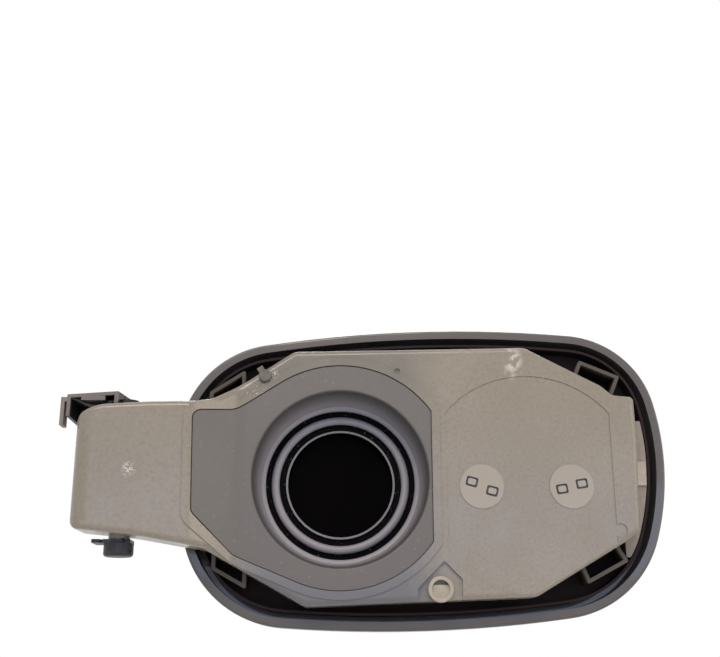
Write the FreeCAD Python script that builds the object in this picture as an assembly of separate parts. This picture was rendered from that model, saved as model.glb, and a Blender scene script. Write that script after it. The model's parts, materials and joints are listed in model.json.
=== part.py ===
import FreeCAD, Part
import math
import os

# Fuel filler flap, all lengths in millimetres.
# Every piece is drawn on the bench, lying on its painted face with the inner side up:
# x runs from the hinge towards the latch, y is up on the car, z rises from the rim plane.
# The last step stands the pieces up in the car frame, with the hinge axis on +Z.

# Painted outer panel: four shallow side arcs joined by four corner arcs.
top_arc = (16.3, 61.85, 535.0)
bottom_arc = (-20.1, -61.85, 560.0)
right_arc = (97.5, 6.9, 106.0)
left_arc = (-103.4, 8.5, 150.0)
corner_top_right = 38.0
corner_bottom_right = 45.2
corner_bottom_left = 44.4
corner_top_left = 41.9
panel_depth = 16.0
panel_wall = 2.6
crown_radius_up = 700.0
crown_radius_along = 2500.0
rim_width = 3.6
rim_rounding = 1.0
panel_edge_rounding = 2.2

# Inner carrier: shallow tray with a thin upright flange inside the panel's rim.
groove_width = 2.4
carrier_flange = 1.1
carrier_flange_top = -1.0
carrier_floor = 2.0
bond_gap = 0.2
shelf_top = -1.2
shelf_left = 79.0
shelf_low = -33.0
shelf_high = 23.0
shelf_wall = 1.6
rail_gap = 0.2
striker_wall = 1.0
striker_gap = 0.4
frame_wall = 1.5
frame_top = 4.0

# Hinge plate: flat plate, ramp and hollow swan-neck arm in one moulding.
plate_top = 11.0
plate_wall = 3.0
arm_top = 23.0
ramp_foot = -76.0
ramp_head = -96.0
arm_end = -141.0
arm_roll = 8.0
skirt_wall = 2.2
skirt_low = 4.0
plate_edge_rounding = 2.4
rib_wall = 1.6
label_sink = 0.4
tile_offset = 4.0
tile_half_long = 1.6
tile_half_short = 1.2
tile_groove = 0.75
tile_sink = 0.8
skirt_foot = -2.0
skirt_start = -85.0
hook_play = 0.3

# Cap holder: soft pad let into the plate, with a funnel that ends in an open cup.
funnel_x = -36.3
funnel_y = -3.0
pad_thickness = 1.6
pad_gap = 0.35
pad_radius = 45.2
pad_rise = 1.0
pad_neck_high = 2.5
pad_neck_low = 3.5
pad_right = 0.5
pad_border = 3.2
pad_border_rise = 0.5
mouth_radius = 35.4
mouth_edge = 0.9
lip_radius = 32.4
cup_radius = 21.7
cup_clearance = 1.2
cup_low = panel_wall + bond_gap + carrier_floor + cup_clearance - panel_depth
cup_edge = cup_low + 3.0
groove_floor = cup_edge - 1.4
funnel_under = cup_edge - 2.4
bead_radius = 26.8
cup_wall = 1.2

# Hinge: steel pin held in two bearings, with a cap on its lower end.
hinge_x = -123.0
hinge_z = 8.0
pin_radius = 2.0
pin_fit = 0.02
running_gap = 0.08
eye_radius = 4.2
eye_low = -27.2
eye_high = 25.6
end_float = 0.4
knob_radius = 5.8
knob_height = 5.0
knob_rounding = 1.2
lower_bearing_wall = 1.4
lug_wall = 2.2
housing_wall = 1.4
housing_left = -146.2
housing_front = 15.0
housing_back = -4.0
housing_low = 26.0
housing_high = 31.0
cheek_low = 20.7
spring_wall = 0.6
spring_width = 3.2

far = 200.0


def vec(x, y, z):
    return FreeCAD.Vector(x, y, z)


def arc(start, middle, end):
    return Part.Arc(start, middle, end).toShape()


def slab(wire, low, high):
    # Upright solid over a flat closed wire drawn at z = 0.
    base = Part.Face(wire)
    base.translate(vec(0, 0, low))
    return base.extrude(vec(0, 0, high - low))


def box(x_low, x_high, y_low, y_high, z_low, z_high):
    corner = vec(x_low, y_low, z_low)
    return Part.makeBox(x_high - x_low, y_high - y_low, z_high - z_low, corner)


def post(x, y, radius, low, high):
    return Part.makeCylinder(radius, high - low, vec(x, y, low), vec(0, 0, 1))


def hinge_post(radius, low, high):
    # Cylinder on the hinge axis, which runs along y on the bench.
    return Part.makeCylinder(radius, high - low, vec(hinge_x, low, hinge_z), vec(0, 1, 0))


def rounded_corner(before, corner, after, radius):
    # Start, middle and end points of the arc that rounds one corner.
    to_before = (before - corner).normalize()
    to_after = (after - corner).normalize()
    half = to_before.getAngle(to_after) / 2
    cut = radius / math.tan(half)
    bisector = (to_before + to_after).normalize()
    middle = corner + bisector * (radius / math.sin(half) - radius)
    return corner + to_before * cut, middle, corner + to_after * cut


def rounded_wire(corners, place):
    # Closed wire through corners (a, b, radius); place() turns (a, b) into a point.
    points = [place(a, b) for a, b, radius in corners]
    edges = []
    ends = []
    count = len(points)
    for index in range(count):
        radius = corners[index][2]
        if radius > 0:
            before = points[index - 1]
            after = points[(index + 1) % count]
            ends.append(rounded_corner(before, points[index], after, radius))
        else:
            ends.append((points[index], None, points[index]))
    for index in range(count):
        start, middle, end = ends[index]
        if middle is not None:
            edges.append(arc(start, middle, end))
        next_start = ends[(index + 1) % count][0]
        if (next_start - end).Length > 0.001:
            edges.append(Part.makeLine(end, next_start))
    return Part.Wire(edges)


def flat_wire(corners):
    return rounded_wire(corners, lambda x, y: vec(x, y, 0))


def cross_point(first, second, toward):
    # Meeting point of two circles (centre, radius) that lies nearer to toward.
    line = second[0] - first[0]
    distance = line.Length
    along = (first[1] ** 2 - second[1] ** 2 + distance ** 2) / (2 * distance)
    side = math.sqrt(first[1] ** 2 - along ** 2)
    unit = line * (1 / distance)
    normal = vec(-unit.y, unit.x, 0)
    foot = first[0] + unit * along
    choices = [foot + normal * side, foot - normal * side]
    return min(choices, key=lambda point: (point - toward).Length)


def panel_wire(inset):
    # The flap's outline moved inwards by inset: side arcs and tangent corner arcs.
    top = (vec(top_arc[0], top_arc[1] - top_arc[2], 0), top_arc[2])
    bottom = (vec(bottom_arc[0], bottom_arc[1] + bottom_arc[2], 0), bottom_arc[2])
    right = (vec(right_arc[0] - right_arc[2], right_arc[1], 0), right_arc[2])
    left = (vec(left_arc[0] + left_arc[2], left_arc[1], 0), left_arc[2])
    sides = [top, right, bottom, left]
    radii = [corner_top_right, corner_bottom_right, corner_bottom_left, corner_top_left]
    guesses = [vec(70, 35, 0), vec(70, -35, 0), vec(-70, -35, 0), vec(-70, 35, 0)]
    centres = []
    for index in range(4):
        one = sides[index]
        two = sides[(index + 1) % 4]
        radius = radii[index]
        reach_one = (one[0], one[1] - radius)
        reach_two = (two[0], two[1] - radius)
        centres.append(cross_point(reach_one, reach_two, guesses[index]))
    edges = []
    for index in range(4):
        side_centre, side_radius = sides[index]
        reach = side_radius - inset
        start_way = (centres[index - 1] - side_centre).normalize()
        end_way = (centres[index] - side_centre).normalize()
        start = side_centre + start_way * reach
        end = side_centre + end_way * reach
        middle = side_centre + (start_way + end_way).normalize() * reach
        edges.append(arc(start, middle, end))
        next_centre = sides[(index + 1) % 4][0]
        leave_way = (centres[index] - next_centre).normalize()
        corner_radius = radii[index] - inset
        corner_end = centres[index] + leave_way * corner_radius
        corner_middle = centres[index] + (end_way + leave_way).normalize() * corner_radius
        edges.append(arc(end, corner_middle, corner_end))
    return Part.Wire(edges)


def crown(lift):
    # Everything inside the panel's curved outer face moved inwards by lift.
    radius = crown_radius_up - lift
    middle_z = crown_radius_up - panel_depth
    reach = far / 2
    bottom = vec(0, 0, middle_z - radius)
    end_z = middle_z - math.sqrt(radius ** 2 - reach ** 2)
    ends = [vec(0, -reach, end_z), vec(0, reach, end_z)]
    above = [vec(0, reach, far / 4), vec(0, -reach, far / 4)]
    edges = [arc(ends[0], bottom, ends[1]), Part.makeLine(ends[1], above[0])]
    edges += [Part.makeLine(above[0], above[1]), Part.makeLine(above[1], ends[0])]
    face = Part.Face(Part.Wire(edges))
    centre = vec(0, 0, crown_radius_along - panel_depth)
    sweep = math.degrees(1.2 * far / crown_radius_along)
    face.rotate(centre, vec(0, 1, 0), -sweep / 2)
    return face.revolve(centre, vec(0, 1, 0), sweep)


def arm_profile(drop):
    # Solid under the plate, ramp and arm seen from the side, lowered by drop.
    high = arm_top - drop
    low = plate_top - drop
    corners = [(far / 2, low, 0), (ramp_foot, low, 16), (ramp_head, high, 12)]
    corners += [(arm_end, high, arm_roll), (arm_end, -far / 4, 0), (far / 2, -far / 4, 0)]
    wire = rounded_wire(corners, lambda x, z: vec(x, -far / 2, z))
    return Part.Face(wire).extrude(vec(0, far, 0))


def plate_wire(inset):
    # Outline of plate and arm seen from above, moved inwards by inset.
    corners = [(arm_end, 20.6, 5.5), (-131.5, 24.2, 20), (-112.0, 25.3, 60)]
    corners += [(-96.0, 25.6, 18), (-88.2, 27.8, 6)]
    corners += [(-55.6, 49.4, 7), (39.8, 51.6, 6), (70.6, 35.6, 6), (75.2, 31.6, 4)]
    corners += [(83.8, 30.8, 2), (84.0, 12.0, 60), (82.4, -23.8, 3), (76.0, -28.2, 4)]
    corners += [(40.3, -49.1, 6), (-49.8, -53.0, 6), (-88.8, -31.5, 5), (-116.0, -26.8, 80)]
    corners += [(arm_end + 0.4, -24.3, 4)]
    wire = flat_wire(corners)
    if inset:
        wire = wire.makeOffset2D(-inset)
    return wire


def tangent_point(point, centre, radius, side):
    # Where a line from a point outside a circle touches it; side picks one of the two.
    away_x = point[0] - centre[0]
    away_y = point[1] - centre[1]
    angle = math.atan2(away_y, away_x) + side * math.acos(radius / math.hypot(away_x, away_y))
    return (centre[0] + radius * math.cos(angle), centre[1] + radius * math.sin(angle), 0)


def pad_wire(grow):
    # Outline of the soft pad: round about the funnel, straight towards the latch,
    # and carried up the ramp on the hinge side from a neck that follows the round part.
    reach = pad_radius + grow
    centre = (funnel_x, funnel_y + pad_rise)
    disc = slab(Part.Wire(Part.makeCircle(reach, vec(centre[0], centre[1], 0))), 0, 1)
    right = pad_right + grow
    disc = disc.common(box(-far, right, -far, far, -1, 2))
    upper = (funnel_x - pad_radius + pad_neck_high, 24.2 + grow)
    lower = (funnel_x - pad_radius + pad_neck_low, -33.8 - grow)
    corners = [(-94.9 - grow, 22.0 + grow, 4 + grow), (upper[0], upper[1], 9)]
    corners += [tangent_point(upper, centre, reach, -1), (-40.0, 30.0, 0), (-40.0, -30.0, 0)]
    corners += [tangent_point(lower, centre, reach, 1), (lower[0], lower[1], 6)]
    corners += [(-93.9 - grow, -18.2 - grow, 4 + grow)]
    tail = slab(flat_wire(corners), 0, 1)
    whole = disc.fuse(tail).removeSplitter()
    for face in whole.Faces:
        if abs(face.CenterOfMass.z) < 0.001:
            return face.OuterWire
    return None


def turned(points):
    # Solid of revolution about the funnel axis from closed (radius, height) points.
    places = [vec(funnel_x + radius, funnel_y, height) for radius, height in points]
    face = Part.Face(Part.makePolygon(places + places[:1]))
    return face.revolve(vec(funnel_x, funnel_y, 0), vec(0, 0, 1), 360)


def make_panel():
    body = slab(panel_wire(0), -panel_depth - 1, 0).common(crown(0))
    hollow = slab(panel_wire(rim_width), -panel_depth - 1, 1).common(crown(panel_wall))
    outer = []
    for edge in body.Edges:
        if edge.BoundBox.ZMax < -1:
            outer.append(edge)
    body = body.makeFillet(panel_edge_rounding, outer)
    rim = []
    for edge in body.Edges:
        if edge.BoundBox.ZMin > -0.001:
            rim.append(edge)
    body = body.makeFillet(rim_rounding, rim)
    return body.cut(hollow)


def clip_frame(corners):
    # Upright thin-walled frame that takes one hook of the hinge plate.
    wire = flat_wire([(x, y, 0.8) for x, y in corners])
    hole = wire.makeOffset2D(-frame_wall)
    return slab(wire, -panel_depth, frame_top), slab(hole, -panel_depth, frame_top + 1)


def frame_corners():
    top_left = [(-90.5, 33.5), (-75.9, 43.1), (-75.9, 30.5), (-90.5, 20.9)]
    bottom_left = [(-87.0, -26.9), (-73.2, -34.5), (-73.2, -46.0), (-87.0, -38.4)]
    top_right = [(63.6, 47.8), (80.2, 40.9), (75.2, 28.9), (58.6, 35.8)]
    bottom_right = [(61.9, -43.8), (57.3, -32.6), (72.3, -24.2), (78.5, -35.0)]
    return [top_left, bottom_left, top_right, bottom_right]


def make_carrier():
    under = crown(panel_wall + bond_gap)
    inset = rim_width + groove_width
    outer = slab(panel_wire(inset), -panel_depth, carrier_flange_top)
    inner = slab(panel_wire(inset + carrier_flange), -panel_depth, 1)
    floor = under.cut(crown(panel_wall + bond_gap + carrier_floor))
    floor = floor.common(outer)
    body = outer.cut(inner).common(under).fuse(floor)
    for corners in frame_corners():
        frame, hole = clip_frame(corners)
        frame = frame.common(under).cut(hole)
        body = body.fuse(frame)
    return body.removeSplitter()


def make_latch_rail():
    # Grey channel along the tray's latch side that carries the striker.
    inset = rim_width + groove_width + carrier_flange + rail_gap
    outer = slab(panel_wire(inset), -panel_depth, shelf_top)
    inner = slab(panel_wire(inset + shelf_wall), -panel_depth, shelf_top - shelf_wall)
    above_floor = crown(panel_wall + bond_gap + carrier_floor)
    rail = box(shelf_left, far, shelf_low, shelf_high, -panel_depth, shelf_top)
    room = box(shelf_left + shelf_wall, far, shelf_low + shelf_wall,
               shelf_high - shelf_wall, -panel_depth, shelf_top - shelf_wall)
    rail = rail.common(outer).cut(room.common(inner))
    return rail.common(above_floor).removeSplitter()


def edges_on_top(body, low_x, high_x):
    # Edges where the plate's or arm's upper face meets an outer side wall.
    chosen = []
    for edge in body.Edges:
        middle = edge.valueAt((edge.FirstParameter + edge.LastParameter) / 2)
        flat = edge.BoundBox.ZLength < 0.001 and edge.BoundBox.ZMax < -1
        upright = edge.BoundBox.XLength < 0.001 and edge.BoundBox.YLength < 0.001
        across = edge.BoundBox.XLength < 0.001 and edge.BoundBox.ZLength < 0.001
        if not flat and not upright and not across and low_x < middle.x < high_x:
            chosen.append(edge)
    return chosen


def make_hinge_plate():
    outline = plate_wire(0)
    block = slab(outline, skirt_low - 20, arm_top + 1).common(arm_profile(0))
    block = block.makeFillet(plate_edge_rounding, edges_on_top(block, -far, far))
    block = block.common(box(-far, far, -far, far, skirt_low, far))
    border = slab(pad_wire(pad_border), skirt_low, far / 4)
    border = border.common(arm_profile(-pad_border_rise))
    block = block.fuse(border)
    room = slab(plate_wire(skirt_wall), -1, far / 4).common(arm_profile(plate_wall))
    body = block.cut(room)
    pocket = slab(pad_wire(0), -1, far / 4).cut(arm_profile(pad_thickness))
    body = body.cut(pocket)
    body = body.cut(post(funnel_x, funnel_y, mouth_radius + 0.8, -1, far / 4))
    ribs = arm_ribs()
    body = body.fuse(ribs)
    body = body.fuse(lower_skirt())
    body = body.fuse(hinge_post(eye_radius, eye_low, eye_low + 8))
    body = body.fuse(hinge_post(eye_radius, eye_high - 8, eye_high))
    body = body.cut(hinge_post(pin_radius + running_gap, -far / 4, far / 4))
    body = body.cut(label_field())
    body = add_label_discs(body)
    body = body.cut(lock_pocket())
    body = body.cut(post(2.7, -46.4, 3.6, 0, 20))
    body = body.cut(post(-67.3, 38.4, 1.6, 0, 20))
    body = body.cut(post(-67.3, 38.4, 2.7, plate_top, 20))
    body = body.cut(post(-67.3, 38.4, 2.2, plate_top - plate_wall - 1.6, plate_top - plate_wall))
    body = body.cut(post(-13.3, 40.8, 1.2, plate_top - 0.8, 20))
    body = body.cut(post(74.4, -23.6, 2.7, plate_top - 0.5, 20))
    return body.removeSplitter()


def arm_ribs():
    # Stiffening ribs inside the hollow arm and across its root.
    limit = slab(plate_wire(skirt_wall - 0.4), skirt_low, far / 4)
    limit = limit.common(arm_profile(plate_wall - 0.4))
    bars = box(-116.0, -80.0, 8.0, 8.0 + rib_wall, skirt_low, far / 4)
    bars = bars.fuse(box(-116.0, -80.0, -12.0, -12.0 + rib_wall, skirt_low, far / 4))
    bars = bars.fuse(box(-116.0, -116.0 + rib_wall, -far, far, skirt_low, far / 4))
    bars = bars.fuse(box(-98.0, -98.0 + rib_wall, -far, far, skirt_low, far / 4))
    bars = bars.fuse(box(-80.0, -80.0 + rib_wall, -far, far, skirt_low, far / 4))
    return bars.common(limit)


def lower_skirt():
    # The plate's side wall carried down into the tray; where it crosses a clip frame
    # it is slotted, so that a tongue of it drops into the frame.
    outer = slab(plate_wire(0), skirt_foot, skirt_low + 0.2)
    wall = outer.cut(slab(plate_wire(skirt_wall), skirt_foot - 1, far / 4))
    wall = wall.common(box(skirt_start, far, -far, far, -far, far))
    over_shelf = shelf_top + striker_wall + striker_gap
    wall = wall.cut(box(shelf_left - 1, far, -far, far, -far, over_shelf))
    for corners in frame_corners():
        wire = flat_wire([(x, y, 0.8) for x, y in corners])
        wide = slab(wire.makeOffset2D(hook_play), -panel_depth, skirt_low)
        hole = slab(wire.makeOffset2D(-frame_wall - hook_play), -panel_depth, far / 4)
        wall = wall.cut(wide.cut(hole))
    return wall


def label_field():
    # Shallow sunk field for the label, round with two straight sides.
    disc = post(39.5, -4.8, 43.8, plate_top - label_sink, far / 4)
    return disc.common(box(6.2, 73.0, -far, far, 0, far))


def rounded_tile(x, y, turn, half_x, half_y, low, high):
    corners = [(-half_x, -half_y, 0.7), (-half_x, half_y, 0.7)]
    corners += [(half_x, half_y, 0.7), (half_x, -half_y, 0.7)]
    tile = slab(flat_wire(corners), low, high)
    tile.rotate(vec(0, 0, 0), vec(0, 0, 1), turn)
    tile.translate(vec(x, y, 0))
    return tile


def add_label_discs(body):
    # Two low discs in the field, each with a pair of small tiles set in grooves.
    disc_top = plate_top - 0.1
    for x, y, slope in [(20.15, -6.4, -25.0), (56.1, -6.3, 15.0)]:
        body = body.fuse(post(x, y, 8.9, plate_top - label_sink - 0.4, disc_top))
        for side in (-tile_offset, tile_offset):
            tile_y = y + side * math.tan(math.radians(slope))
            turn = slope * 0.6
            groove = rounded_tile(x + side, tile_y, turn, tile_half_long + tile_groove,
                                  tile_half_short + tile_groove, disc_top - tile_sink, far / 4)
            tile = rounded_tile(x + side, tile_y, turn, tile_half_long, tile_half_short,
                                disc_top - tile_sink - 0.2, disc_top + 0.2)
            body = body.cut(groove).fuse(tile)
    return body


def lock_pocket():
    # Roof-shaped pocket around the lock socket at the plate's lower edge.
    corners = [(4.3, -35.4, 1.0), (11.4, -42.4, 1.5), (11.3, -50.2, 1.0)]
    corners += [(-6.0, -50.8, 1.0), (-6.0, -46.0, 1.5)]
    return slab(flat_wire(corners), plate_top - 1.4, far / 4)


def make_cap_holder():
    # Pad, funnel, lip, groove, bead and open cup in one soft moulding.
    pad = slab(pad_wire(-pad_gap), -1, far / 4).common(arm_profile(0))
    pad = pad.cut(arm_profile(pad_thickness))
    pad = pad.cut(post(funnel_x, funnel_y, mouth_radius + mouth_edge, -1, far / 4))
    low = plate_top - pad_thickness + 0.1
    inside = [(mouth_radius + mouth_edge, plate_top), (mouth_radius + 0.4, plate_top - 0.15)]
    inside += [(mouth_radius, plate_top - 0.6), (mouth_radius - 0.5, plate_top - 1.6)]
    inside += [(lip_radius + 0.4, cup_edge + 2.6), (lip_radius, cup_edge + 1.8)]
    inside += [(lip_radius - 0.8, cup_edge + 1.6), (lip_radius - 1.5, cup_edge + 1.0)]
    inside += [(lip_radius - 1.8, groove_floor), (bead_radius + 1.9, groove_floor)]
    for angle in range(0, 181, 30):
        across = bead_radius + 1.7 * math.cos(math.radians(angle))
        inside.append((across, cup_edge - 0.3 + 1.7 * math.sin(math.radians(angle))))
    inside += [(bead_radius - 2.0, cup_edge - 1.4), (cup_radius + 0.9, cup_edge - 1.4)]
    inside += [(cup_radius + 0.8, cup_edge), (cup_radius, cup_edge), (cup_radius, cup_low)]
    outside = [(cup_radius + cup_wall, cup_low), (cup_radius + cup_wall, funnel_under)]
    outside += [(lip_radius + 0.6, funnel_under), (lip_radius + 1.5, funnel_under + 1.0)]
    outside += [(mouth_radius + 0.5, low), (mouth_radius + mouth_edge, low)]
    return pad.fuse(turned(inside + outside)).removeSplitter()


def make_stop_buffer():
    head = post(-67.3, 38.4, 2.6, plate_top, plate_top + 1.8)
    rim = [edge for edge in head.Edges if edge.BoundBox.ZMin > plate_top + 1.7]
    head = head.makeFillet(0.6, rim)
    stem = post(-67.3, 38.4, 1.6 - pin_fit, plate_top - plate_wall, plate_top)
    bulb = post(-67.3, 38.4, 2.1, plate_top - plate_wall - 1.4, plate_top - plate_wall)
    tab = box(-1.3, 1.3, 2.0, 4.4, plate_top, plate_top + 1.0)
    tab.rotate(vec(0, 0, 0), vec(0, 0, 1), 33)
    tab.translate(vec(-67.3, 38.4, 0))
    return head.fuse(stem).fuse(bulb).fuse(tab).removeSplitter()


def make_lock_socket():
    base = plate_top - 1.4
    bush = post(2.7, -46.4, 5.0, base, base + 3.4)
    rim = [edge for edge in bush.Edges if edge.BoundBox.ZMin > base + 3.3]
    bush = bush.makeFillet(0.5, rim)
    stem = post(2.7, -46.4, 3.6 - pin_fit, base - 3.6, base)
    dish = post(2.7, -46.4, 3.5, base + 2.0, base + 4)
    slot = post(2.7, -46.4, 3.5, base + 0.6, base + 4)
    slot = slot.common(box(-far, far, -46.4 + 1.7, far, 0, far))
    return bush.fuse(stem).cut(dish).cut(slot).removeSplitter()


def make_striker():
    corners = [(81.0, -4.2, 0.6), (81.0, 5.8, 0.6), (89.4, 5.8, 0.6), (89.4, -4.2, 0.6)]
    return slab(flat_wire(corners), shelf_top, shelf_top + striker_wall)


def make_pin():
    low = eye_low - end_float - lower_bearing_wall - knob_height + 1.0
    high = eye_high + end_float + lug_wall + 0.5
    pin = hinge_post(pin_radius, low, high)
    ends = [edge for edge in pin.Edges if edge.BoundBox.YLength < 0.001]
    return pin.makeChamfer(0.3, ends)


def make_upper_bearing():
    lug_low = eye_high + end_float
    lug_high = lug_low + lug_wall
    lug = hinge_post(eye_radius + 0.4, lug_low, lug_high)
    web = box(hinge_x - 9, hinge_x, lug_low, lug_high, hinge_z - 4.4, hinge_z + 3)
    outline = [(housing_left, housing_front, 0), (-125.9, housing_front, 0)]
    outline += [(-122.9, housing_back, 0), (housing_left, housing_back, 0)]

    def upright(corners, low, high):
        wire = rounded_wire(corners, lambda x, z: vec(x, low, z))
        return Part.Face(wire).extrude(vec(0, high - low, 0))

    shell = upright(outline, housing_low, housing_high)
    slope = [(housing_left - 10, 29.6 - 0.8, 0), (-115.0, housing_high + 0.7, 0)]
    slope += [(-115.0, far / 4, 0), (housing_left - 10, far / 4, 0)]
    wire = rounded_wire(slope, lambda x, y: vec(x, y, -far / 2))
    shell = shell.cut(Part.Face(wire).extrude(vec(0, 0, far)))
    inner = [(housing_left + housing_wall, housing_front + 1, 0)]
    inner += [(-127.5, housing_front + 1, 0), (-124.5, housing_back + housing_wall, 0)]
    inner += [(housing_left + housing_wall, housing_back + housing_wall, 0)]
    room = upright(inner, housing_low - 1, housing_high)
    roof = slope[:2] + [(-115.0, -far / 4, 0), (housing_left - 10, -far / 4, 0)]
    wire = rounded_wire(roof, lambda x, y: vec(x, y - housing_wall, -far / 2))
    room = room.common(Part.Face(wire).extrude(vec(0, 0, far)))
    shell = shell.cut(room)
    cheek = box(housing_left, housing_left + housing_wall, cheek_low, 27.0,
                housing_back, housing_front)
    cheek = cheek.fuse(box(housing_left, hinge_x - 9.4, cheek_low, 27.0,
                           housing_back, housing_back + housing_wall))
    lip = box(-140.5, -131.0, 27.2, 29.0, housing_front - 3, housing_front)
    tab = box(housing_left - 2.4, housing_left, 26.6, 28.4, housing_front - 6, housing_front)
    tab = tab.fuse(box(housing_left - 2.4, housing_left - 0.9, 17.0, 27.0,
                       housing_front - 6, housing_front))
    body = shell.fuse(lug).fuse(web).fuse(cheek).fuse(lip).fuse(tab)
    body = body.cut(hinge_post(pin_radius + pin_fit, 0, far / 4))
    return body.removeSplitter()


def make_lower_bearing():
    high = eye_low - end_float
    corners = [(-133.0, 13.0, 1.0), (-117.8, 13.0, 1.0), (-117.8, 3.0, 1.0), (-133.0, 3.0, 1.0)]
    wire = rounded_wire(corners, lambda x, z: vec(x, high - lower_bearing_wall, z))
    body = Part.Face(wire).extrude(vec(0, lower_bearing_wall, 0))
    for x in (-129.6, -120.6):
        body = body.cut(box(x, x + 1.2, -far, far, 11.6, far))
    return body.cut(hinge_post(pin_radius + pin_fit, -far / 4, 0))


def make_pin_cap():
    high = eye_low - end_float - lower_bearing_wall
    low = high - knob_height
    body = hinge_post(knob_radius, low, high)
    rim = [edge for edge in body.Edges if edge.BoundBox.YMax < low + 0.001]
    body = body.makeFillet(knob_rounding, rim)
    return body.cut(hinge_post(pin_radius + pin_fit, low + 1.0, high + 1))


def make_spring():
    # Bent leaf spring that sits in the upper bearing, over the top of the arm.
    roof = 27.8
    nose = 25.0
    left = housing_left + housing_wall + 0.2
    back = housing_front - spring_width - 0.5
    centre_line = [(left, roof), (left + 1.0, roof), (-139.0, 25.7)]
    centre_line += [(-135.2, nose), (-131.0, nose)]
    centre_line += [(-129.2, 26.6), (-128.2, 26.6)]
    upper = [(x, y + spring_wall / 2, 0.0) for x, y in centre_line]
    lower = [(x, y - spring_wall / 2, 0.0) for x, y in reversed(centre_line)]
    wire = rounded_wire(upper + lower, lambda x, y: vec(x, y, back))
    return Part.Face(wire).extrude(vec(0, 0, spring_width))


def stand_up(shape):
    # From the bench to the car: hinge axis on Z, lower pivot at the origin.
    pivot = eye_low - end_float - lower_bearing_wall - knob_height / 2
    shape.rotate(vec(0, 0, 0), vec(1, 0, 0), 90)
    shape.translate(vec(-hinge_x, hinge_z, -pivot))
    return shape


os.makedirs("parts", exist_ok=True)
nodes = {
    "outer_panel": make_panel(),
    "inner_carrier": make_carrier(),
    "hinge_plate": make_hinge_plate(),
    "cap_holder": make_cap_holder(),
    "latch_rail": make_latch_rail(),
    "stop_buffer": make_stop_buffer(),
    "lock_socket": make_lock_socket(),
    "latch_striker": make_striker(),
    "hinge_pin": make_pin(),
    "upper_bearing": make_upper_bearing(),
    "lower_bearing": make_lower_bearing(),
    "pin_cap": make_pin_cap(),
    "detent_spring": make_spring(),
}
for name, shape in nodes.items():
    placed = stand_up(shape)
    print(name, placed.isValid(), len(placed.Solids), len(placed.Faces), round(placed.Volume))
    placed.exportStep("parts/" + name + ".step")
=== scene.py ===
import json
import math

import bpy
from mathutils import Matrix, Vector

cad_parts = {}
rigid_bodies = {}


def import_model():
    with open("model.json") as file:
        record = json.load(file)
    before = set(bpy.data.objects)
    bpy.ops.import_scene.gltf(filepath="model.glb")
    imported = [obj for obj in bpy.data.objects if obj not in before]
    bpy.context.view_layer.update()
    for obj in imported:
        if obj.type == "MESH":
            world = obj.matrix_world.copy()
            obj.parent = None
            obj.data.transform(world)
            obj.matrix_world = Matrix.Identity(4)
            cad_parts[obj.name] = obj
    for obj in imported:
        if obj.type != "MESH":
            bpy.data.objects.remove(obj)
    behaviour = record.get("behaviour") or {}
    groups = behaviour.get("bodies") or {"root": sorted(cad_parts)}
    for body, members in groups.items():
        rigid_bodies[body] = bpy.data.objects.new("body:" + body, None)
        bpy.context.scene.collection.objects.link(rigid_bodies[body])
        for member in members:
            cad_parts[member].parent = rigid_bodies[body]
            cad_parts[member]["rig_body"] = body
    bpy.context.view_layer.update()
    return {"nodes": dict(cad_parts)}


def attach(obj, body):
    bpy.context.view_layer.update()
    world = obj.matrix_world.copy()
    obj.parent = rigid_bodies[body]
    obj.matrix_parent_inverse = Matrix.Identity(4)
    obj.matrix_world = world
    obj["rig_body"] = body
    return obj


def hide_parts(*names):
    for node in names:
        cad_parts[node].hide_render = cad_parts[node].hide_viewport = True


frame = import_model()
nodes = frame["nodes"]

MM = 0.001

# Car frame: hinge axis on Z, latch towards +X, painted face towards +Y, inner side towards -Y.
flap_centre_mm = (123.0, 8.0, 31.5)
plate_face_y_mm = -3.0
arm_face_y_mm = -15.0
carrier_frame_y_mm = 8.0
housing_front_y_mm = -7.0
housing_tab_x_mm = -23.0
bush_mouth_y_mm = -3.6
bush_bottom_y_mm = -1.8
cup_rim_y_mm = 15.05
cup_reach_mm = 26.0
funnel_centre_mm = (86.7, 8.0, 28.5)
disc_centres_mm = [(143.15, plate_face_y_mm, 25.1), (179.1, plate_face_y_mm, 25.2)]
disc_radius_mm = 8.9
tile_groove_y_mm = (-2.75, -2.45)
# A half size along Y that takes in the whole depth of a piece.
whole_depth_mm = 40.0
# Where the painted shade about the funnel starts and is full: hinge side, latch side, downwards.
funnel_shade_hinge_mm = (34.0, 58.0)
funnel_shade_latch_mm = (128.0, 112.0)
funnel_shade_down_mm = (8.0, -18.0)
# Pale spots, partly rubbed places and partly painted highlights: centre, half size, grain, and the
# range of the cloud that shows as pale.
rubs_and_highlights = [
    ((4.6, arm_face_y_mm, 29.6), (3.4, 3.0, 3.4), 0.8, 0.48, 0.56),
    ((157.5, plate_face_y_mm, 77.0), (5.0, 4.0, 9.5), 2.6, 0.42, 0.66),
    ((51.0, plate_face_y_mm, 64.0), (6.0, 6.0, 4.0), 0.9, 0.54, 0.7),
    ((59.8, plate_face_y_mm, 71.2), (2.2, 5.0, 2.8), 0.8, 0.5, 0.66),
]

camera_place_mm = (86.92, -422.0, -40.93)
camera_forward = (0.01724, 0.95393, 0.29954)
camera_lens_mm = 52.8
camera_film_mm = 36.0

floor_size_m = 6.0
floor_height_m = -0.16
floor_glow = 0.72

merge_distance_mm = 0.01
flat_angle = math.radians(0.6)
sharp_angle = math.radians(35.0)
smooth_angle = math.radians(32.0)


def linear(text):
    # Linear colour from an sRGB hex text.
    values = []
    for start in (1, 3, 5):
        part = int(text[start:start + 2], 16) / 255
        if part <= 0.04045:
            values.append(part / 12.92)
        else:
            values.append(((part + 0.055) / 1.055) ** 2.4)
    return (values[0], values[1], values[2], 1.0)


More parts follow.
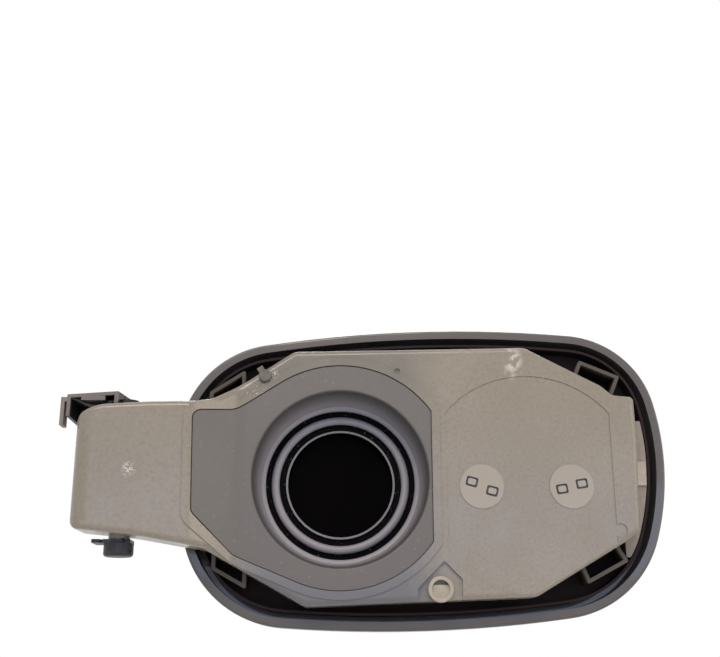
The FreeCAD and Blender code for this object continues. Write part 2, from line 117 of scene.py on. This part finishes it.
def add_node(tree, kind, inputs, **settings):
    # One shader node with its settings; an input takes a value or another node's output.
    node = tree.nodes.new(kind)
    for key, value in settings.items():
        setattr(node, key, value)
    for key, value in inputs.items():
        if isinstance(value, bpy.types.NodeSocket):
            tree.links.new(value, node.inputs[key])
        else:
            node.inputs[key].default_value = value
    return node


def start_material(name, base, roughness, specular=0.5, metallic=0.0):
    material = bpy.data.materials.new(name)
    material.use_nodes = True
    tree = material.node_tree
    shader = tree.nodes["Principled BSDF"]
    shader.inputs["Base Color"].default_value = linear(base)
    shader.inputs["Roughness"].default_value = roughness
    shader.inputs["Specular IOR Level"].default_value = specular
    shader.inputs["Metallic"].default_value = metallic
    place = add_node(tree, "ShaderNodeTexCoord", {}).outputs["Object"]
    return material, tree, shader, place


def blotches(tree, place, size_mm, low, high, share, detail=2.0):
    # Mask of patches about size_mm wide: 0 where the cloud is under low, share above high.
    cloud = add_node(tree, "ShaderNodeTexNoise", {
        "Vector": place, "Scale": 1 / (size_mm * MM), "Detail": detail})
    return add_node(tree, "ShaderNodeMapRange", {
        "Value": cloud.outputs["Fac"], "From Min": low, "From Max": high,
        "To Max": share}, interpolation_type="SMOOTHSTEP").outputs["Result"]


def spot(tree, place, centre_mm, half_mm, fade=1.0):
    # Mask that is 1 about a point of the piece and 0 past half_mm along each axis;
    # fade is the share of that reach over which it falls.
    away = add_node(tree, "ShaderNodeVectorMath", {
        0: place, 1: Vector(centre_mm) * MM}, operation="SUBTRACT")
    part = add_node(tree, "ShaderNodeVectorMath", {
        0: away.outputs[0], 1: Vector(half_mm) * MM}, operation="DIVIDE")
    reach = add_node(tree, "ShaderNodeVectorMath", {0: part.outputs[0]}, operation="LENGTH")
    return add_node(tree, "ShaderNodeMapRange", {
        "Value": reach.outputs["Value"], "From Min": 1.0,
        "From Max": 1.0 - fade}).outputs["Result"]


def rise(tree, place, axis, low_mm, high_mm):
    # Mask along one axis of the piece: 0 at low_mm and 1 at high_mm.
    axes = add_node(tree, "ShaderNodeSeparateXYZ", {0: place})
    return add_node(tree, "ShaderNodeMapRange", {
        "Value": axes.outputs[axis], "From Min": low_mm * MM,
        "From Max": high_mm * MM}).outputs["Result"]


def moulded_grain(tree, shader, place, size_mm, depth_mm, strength):
    # Relief left by a spark-eroded mould, drawn coarser than it is so as to show, with
    # roughness that wanders a little.
    cloud = add_node(tree, "ShaderNodeTexNoise", {
        "Vector": place, "Scale": 1 / (size_mm * MM), "Detail": 2.0})
    relief = add_node(tree, "ShaderNodeBump", {
        "Strength": strength, "Distance": depth_mm * MM, "Height": cloud.outputs["Fac"]})
    tree.links.new(relief.outputs["Normal"], shader.inputs["Normal"])
    middle = shader.inputs["Roughness"].default_value
    wander = add_node(tree, "ShaderNodeTexNoise", {
        "Vector": place, "Scale": 1 / (14 * MM), "Detail": 3.0})
    rough = add_node(tree, "ShaderNodeMapRange", {
        "Value": wander.outputs["Fac"], "From Min": 0.3, "From Max": 0.7,
        "To Min": middle - 0.05, "To Max": middle + 0.05})
    tree.links.new(rough.outputs["Result"], shader.inputs["Roughness"])


def filled_polyamide():
    # Glass-filled nylon, moulded: warm satin grey with faint flow patches and pale fibre ends, with
    # painted shade about the funnel that grows darker and cooler towards the bottom, painted shade in
    # the tile grooves, and four pale spots that are partly rubbed places and partly painted
    # highlights. The fibre ends are drawn coarser than they are, so as to show.
    base = "#8b8478"
    material, tree, shader, place = start_material("filled_polyamide", base, 0.24)
    flow = blotches(tree, place, 30.0, 0.25, 0.8, 0.6, 0.0)
    grey = add_node(tree, "ShaderNodeMix", {
        "Factor": flow, 6: linear(base), 7: linear("#938c81")}, data_type="RGBA")
    mottle = blotches(tree, place, 1.3, 0.4, 0.7, 0.5)
    grey = add_node(tree, "ShaderNodeMix", {
        "Factor": mottle, 6: grey.outputs[2], 7: linear("#7d776c")}, data_type="RGBA")
    # Painted shade: the plate is darker about the funnel.
    shade_about_funnel = add_node(tree, "ShaderNodeMath", {
        0: rise(tree, place, "X", *funnel_shade_hinge_mm),
        1: rise(tree, place, "X", *funnel_shade_latch_mm)}, operation="MULTIPLY")
    grey = add_node(tree, "ShaderNodeMix", {
        "Factor": shade_about_funnel.outputs[0], 6: grey.outputs[2], 7: linear("#77736d")},
        data_type="RGBA")
    # Painted shade: darker and cooler towards the bottom of that patch.
    shade_below_funnel = add_node(tree, "ShaderNodeMath", {
        0: shade_about_funnel.outputs[0], 1: rise(tree, place, "Z", *funnel_shade_down_mm)},
        operation="MULTIPLY")
    grey = add_node(tree, "ShaderNodeMix", {
        "Factor": shade_below_funnel.outputs[0], 6: grey.outputs[2], 7: linear("#68676a")},
        data_type="RGBA")
    for centre_mm in disc_centres_mm:
        disc = spot(tree, place, centre_mm, (disc_radius_mm, whole_depth_mm, disc_radius_mm), 0.03)
        grey = add_node(tree, "ShaderNodeMix", {
            "Factor": disc, 6: grey.outputs[2], 7: linear("#9d968a")}, data_type="RGBA")
        # Painted shade on the floors of the tile grooves.
        groove_shade = add_node(tree, "ShaderNodeMath", {
            0: disc, 1: rise(tree, place, "Y", *tile_groove_y_mm)}, operation="MULTIPLY")
        grey = add_node(tree, "ShaderNodeMix", {
            "Factor": groove_shade.outputs[0], 6: grey.outputs[2], 7: linear("#423f3b")},
            data_type="RGBA")
    fibres = blotches(tree, place, 0.7, 0.68, 0.74, 0.3)
    grey = add_node(tree, "ShaderNodeMix", {
        "Factor": fibres, 6: grey.outputs[2], 7: linear("#b5b0a6")}, data_type="RGBA")
    # Pale spots, partly rubbed places and partly painted highlights.
    for centre_mm, half_mm, size_mm, low, high in rubs_and_highlights:
        where = spot(tree, place, centre_mm, half_mm)
        streaks = blotches(tree, place, size_mm, low, high, 1.0, 4.0)
        rub_and_highlight = add_node(tree, "ShaderNodeMath", {0: where, 1: streaks}, operation="MULTIPLY")
        grey = add_node(tree, "ShaderNodeMix", {
            "Factor": rub_and_highlight.outputs[0], 6: grey.outputs[2], 7: linear("#d9d5cd")}, data_type="RGBA")
    tree.links.new(grey.outputs[2], shader.inputs["Base Color"])
    moulded_grain(tree, shader, place, 0.5, 0.03, 0.25)
    return material


def thermoplastic_rubber():
    # Soft thermoplastic rubber: darker, duller grey than the plate, with dust in its grain. Painted
    # shade and light by depth: darker at the funnel's mouth, lighter down its wall, and painted black
    # on the groove floors and the bore past the cup's rim.
    material, tree, shader, place = start_material("thermoplastic_rubber", "#676463", 0.42, 0.4)
    shallow_mm = -4.0
    deep_mm = 18.0
    depth = rise(tree, place, "Y", shallow_mm, deep_mm)
    ramp = add_node(tree, "ShaderNodeValToRGB", {"Fac": depth})
    # Painted shade and light by depth: dark at the mouth, lighter down the wall, black past the cup's
    # rim.
    painted_shade_stops = [(-3.0, "#676463"), (-2.2, "#4f4d4f"), (4.0, "#737175"), (10.0, "#96949a"),
             (12.6, "#96949c"), (14.8, "#8a8890"), (cup_rim_y_mm, "#77757c"),
             (cup_rim_y_mm + 0.25, "#080708")]
    elements = ramp.color_ramp.elements
    elements.remove(elements[1])
    elements[0].position = 0.0
    elements[0].color = linear(painted_shade_stops[0][1])
    for depth_mm, tone in painted_shade_stops:
        stop = elements.new((depth_mm - shallow_mm) / (deep_mm - shallow_mm))
        stop.color = linear(tone)
    # The painted black floors also lose their specular, so they stay as black as deep shade.
    dull = add_node(tree, "ShaderNodeMapRange", {
        "Value": rise(tree, place, "Y", cup_rim_y_mm, cup_rim_y_mm + 0.35),
        "To Min": 0.4, "To Max": 0.03})
    tree.links.new(dull.outputs["Result"], shader.inputs["Specular IOR Level"])
    dust = blotches(tree, place, 0.9, 0.68, 0.73, 0.5)
    grey = add_node(tree, "ShaderNodeMix", {
        "Factor": dust, 6: ramp.outputs["Color"], 7: linear("#9a9691")}, data_type="RGBA")
    tree.links.new(grey.outputs[2], shader.inputs["Base Color"])
    moulded_grain(tree, shader, place, 0.5, 0.03, 0.3)
    return material


def metallic_paint():
    # Anthracite car paint under clear coat: bright flakes, drawn coarser than they are so as
    # to show, and a sharp gloss.
    base = "#484443"
    material, tree, shader, place = start_material("metallic_paint", base, 0.4)
    shader.inputs["Coat Weight"].default_value = 0.5
    shader.inputs["Coat Roughness"].default_value = 0.05
    flakes = blotches(tree, place, 0.2, 0.6, 0.75, 0.35)
    grey = add_node(tree, "ShaderNodeMix", {
        "Factor": flakes, 6: linear(base), 7: linear("#8a857f")}, data_type="RGBA")
    tree.links.new(grey.outputs[2], shader.inputs["Base Color"])
    return material


def black_polypropylene():
    # Black polypropylene tray: matt and very dark, with painted shade that makes it blackest under
    # the cup, and painted light that greys the tops of its raised clip frames.
    base = "#282021"
    material, tree, shader, place = start_material("black_polypropylene", base, 0.65, 0.12)
    # Painted light: the tops of the raised clip frames are lighter.
    lit_frame_tops = rise(tree, place, "Y", carrier_frame_y_mm, carrier_frame_y_mm - 3.0)
    dark = add_node(tree, "ShaderNodeMix", {
        "Factor": lit_frame_tops, 6: linear(base), 7: linear("#5a5652")}, data_type="RGBA")
    # Painted shade: blackest under the cup, with less specular there.
    shade_under_cup = spot(tree, place, funnel_centre_mm, (cup_reach_mm, whole_depth_mm, cup_reach_mm), 0.1)
    dark = add_node(tree, "ShaderNodeMix", {
        "Factor": shade_under_cup, 6: dark.outputs[2], 7: linear("#040304")}, data_type="RGBA")
    tree.links.new(dark.outputs[2], shader.inputs["Base Color"])
    dull = add_node(tree, "ShaderNodeMapRange", {
        "Value": shade_under_cup, "To Min": 0.12, "To Max": 0.02})
    tree.links.new(dull.outputs["Result"], shader.inputs["Specular IOR Level"])
    moulded_grain(tree, shader, place, 0.5, 0.02, 0.3)
    return material


def plain_moulding(name, base, patch, roughness, specular=0.5, metallic=0.0, shaded=()):
    # One moulded or rolled material with soft patches of a second tone. Each row of shaded is
    # an axis, two places in millimetres and a tone that takes over from the first to the second.
    material, tree, shader, place = start_material(name, base, roughness, specular, metallic)
    tone = add_node(tree, "ShaderNodeMix", {
        "Factor": blotches(tree, place, 3.0, 0.4, 0.7, 0.7), 6: linear(base), 7: linear(patch)},
        data_type="RGBA")
    for axis, start_mm, end_mm, other in shaded:
        tone = add_node(tree, "ShaderNodeMix", {
            "Factor": rise(tree, place, axis, start_mm, end_mm),
            6: tone.outputs[2], 7: linear(other)}, data_type="RGBA")
    tree.links.new(tone.outputs[2], shader.inputs["Base Color"])
    moulded_grain(tree, shader, place, 0.5, 0.02, 0.3)
    return material


# Acetal is a hard, slippery black plastic with a little gloss, greyed here by dust.
black_acetal = plain_moulding("black_acetal", "#2c2b2e", "#413f43", 0.45, 0.4)
# The housing's acetal is black, with painted light that turns its front edges grey and painted shade
# that keeps its inside dark; its tab is grey.
housing_acetal_lit_front = plain_moulding("housing_acetal_lit_front", "#161617", "#222223", 0.42, 0.3, shaded=[
    ("Y", housing_front_y_mm + 1.6, housing_front_y_mm + 0.6, "#736d6b"),
    ("X", housing_tab_x_mm, housing_tab_x_mm - 0.6, "#7f7976")])
# Natural nylon yellows, and painted shade darkens the bottom of the bush.
natural_nylon = plain_moulding("natural_nylon", "#a39c8f", "#afa89a", 0.4,
                               shaded=[("Y", bush_mouth_y_mm, bush_bottom_y_mm, "#5f584f")])
# Unpainted polyamide like the plate's, duller because it is less handled.
grey_polyamide = plain_moulding("grey_polyamide", "#8a8278", "#958d82", 0.42)
# Solid rubber scatters the light, so the buffer is dull, with no clear highlight.
buffer_rubber = plain_moulding("buffer_rubber", "#66625e", "#726e69", 0.6, 0.3)
# Zinc plating gives soft reflections with a warm tint.
zinc_plated_steel = plain_moulding("zinc_plated_steel", "#988c7e", "#a3978a", 0.45, 0.5, 1.0)
# Ground steel reflects brightly, with faint darker patches of grease.
bright_steel = plain_moulding("bright_steel", "#b4b4b8", "#9c9ca2", 0.3, 0.5, 1.0)
# Spring steel stays dark from its hardening, with a blurred sheen.
spring_steel = plain_moulding("spring_steel", "#2e2e30", "#3a3a3c", 0.4, 0.5, 1.0)
# Node, its material, and the width in millimetres of its softened edges.
finishes = {
    "outer_panel": (metallic_paint(), 0.0),
    "inner_carrier": (black_polypropylene(), 0.2),
    "hinge_plate": (filled_polyamide(), 0.25),
    "cap_holder": (thermoplastic_rubber(), 0.35),
    "latch_rail": (grey_polyamide, 0.3),
    "stop_buffer": (buffer_rubber, 0.15),
    "lock_socket": (natural_nylon, 0.15),
    "latch_striker": (zinc_plated_steel, 0.2),
    "hinge_pin": (bright_steel, 0.0),
    "upper_bearing": (housing_acetal_lit_front, 0.2),
    "lower_bearing": (black_acetal, 0.15),
    "pin_cap": (black_acetal, 0.0),
    "detent_spring": (spring_steel, 0.08),
}


def dress(node):
    # A finished copy of one CAD node: merged, flat faces joined, edges softened.
    source = nodes[node]
    material, softness_mm = finishes[node]
    piece = source.copy()
    piece.data = source.data.copy()
    piece.name = node + "_look"
    piece.parent = None
    bpy.context.scene.collection.objects.link(piece)
    bpy.ops.object.select_all(action="DESELECT")
    bpy.context.view_layer.objects.active = piece
    piece.select_set(True)
    for key in list(piece.keys()):
        del piece[key]
    bpy.ops.mesh.customdata_custom_splitnormals_clear()
    bpy.ops.object.mode_set(mode="EDIT")
    bpy.ops.mesh.select_all(action="SELECT")
    bpy.ops.mesh.remove_doubles(threshold=merge_distance_mm * MM)
    bpy.ops.mesh.dissolve_limited(angle_limit=flat_angle)
    bpy.ops.object.mode_set(mode="OBJECT")
    if softness_mm > 0:
        bevel = piece.modifiers.new("soft_edges", "BEVEL")
        bevel.width = softness_mm * MM
        bevel.segments = 2
        bevel.limit_method = "ANGLE"
        bevel.angle_limit = sharp_angle
        bevel.use_clamp_overlap = True
        bpy.ops.object.modifier_apply(modifier=bevel.name)
    bpy.ops.object.shade_smooth_by_angle(angle=smooth_angle)
    level = piece.modifiers.new("level_faces", "WEIGHTED_NORMAL")
    level.mode = "FACE_AREA"
    level.weight = 100
    level.keep_sharp = True
    bpy.ops.object.modifier_apply(modifier=level.name)
    piece.data.materials.clear()
    piece.data.materials.append(material)
    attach(piece, source["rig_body"])
    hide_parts(node)


for node in sorted(nodes):
    dress(node)


def area_light(name, place, width, height, power, tone):
    # A soft lamp aimed at the flap; place and size in metres, power in watts.
    data = bpy.data.lights.new(name, "AREA")
    data.shape = "RECTANGLE"
    data.size = width
    data.size_y = height
    data.energy = power
    data.color = linear(tone)[:3]
    lamp = bpy.data.objects.new(name, data)
    bpy.context.scene.collection.objects.link(lamp)
    lamp.location = place
    way = Vector(flap_centre_mm) * MM - Vector(place)
    lamp.rotation_euler = way.to_track_quat("-Z", "Y").to_euler()
    lamp.visible_camera = False


area_light("key", (-0.05, -0.8, 0.75), 0.7, 0.5, 7.6, "#fff1df")
area_light("fill", (0.85, -0.5, 0.15), 0.4, 0.6, 1.8, "#fff1e0")
area_light("window", (0.1, -0.95, 0.12), 1.1, 0.12, 1.1, "#a8c2ff")
area_light("low", (0.13, -0.3, -0.28), 0.5, 0.15, 0.15, "#b9c8ff")
area_light("back", (0.3, 0.9, 0.8), 0.9, 0.6, 8.0, "#ffffff")


def seen_directly(tree):
    # 1 for the rays that show the background to the eye, in gloss and through glass.
    ray = add_node(tree, "ShaderNodeLightPath", {})
    seen = add_node(tree, "ShaderNodeMath", {
        0: ray.outputs["Is Camera Ray"], 1: ray.outputs["Is Glossy Ray"]}, operation="MAXIMUM")
    return add_node(tree, "ShaderNodeMath", {
        0: seen.outputs[0], 1: ray.outputs["Is Transmission Ray"]}, operation="MAXIMUM").outputs[0]


# The background is white to the eye, and a softer light on the object.
world = bpy.data.worlds.new("studio")
world.use_nodes = True
bpy.context.scene.world = world
sky = world.node_tree
soft = sky.nodes["Background"]
soft.inputs["Color"].default_value = linear("#f2f4f8")
soft.inputs["Strength"].default_value = 0.3
white = add_node(sky, "ShaderNodeBackground", {"Color": linear("#ffffff"), "Strength": 1.0})
mixed = add_node(sky, "ShaderNodeMixShader", {
    "Fac": seen_directly(sky), 1: soft.outputs[0], 2: white.outputs[0]})
sky.links.new(mixed.outputs[0], sky.nodes["World Output"].inputs["Surface"])

bpy.ops.mesh.primitive_plane_add(size=floor_size_m, location=(0.1, 0.0, floor_height_m))
floor = bpy.context.object
floor.name = "floor"
# Pale paper that glows a little to the eye, so that it stays pale and keeps the shadow.
floor_paper, ground, paper, _ = start_material("floor_paper", "#efeeec", 0.8)
glow = add_node(ground, "ShaderNodeEmission", {"Color": linear("#ffffff"), "Strength": 1.0})
share = add_node(ground, "ShaderNodeMath", {
    0: seen_directly(ground), 1: floor_glow}, operation="MULTIPLY")
mixed = add_node(ground, "ShaderNodeMixShader", {
    "Fac": share.outputs[0], 1: paper.outputs[0], 2: glow.outputs[0]})
ground.links.new(mixed.outputs[0], ground.nodes["Material Output"].inputs["Surface"])
floor.data.materials.append(floor_paper)

camera_data = bpy.data.cameras.new("camera")
camera_data.lens = camera_lens_mm
camera_data.sensor_width = camera_film_mm
camera_data.clip_start = 10 * MM
camera = bpy.data.objects.new("camera", camera_data)
bpy.context.scene.collection.objects.link(camera)
camera.location = Vector(camera_place_mm) * MM
camera.rotation_mode = "QUATERNION"
camera.rotation_quaternion = Vector(camera_forward).to_track_quat("-Z", "Y")
bpy.context.scene.camera = camera
bpy.context.scene.view_settings.view_transform = "Standard"

bpy.context.view_layer.update()
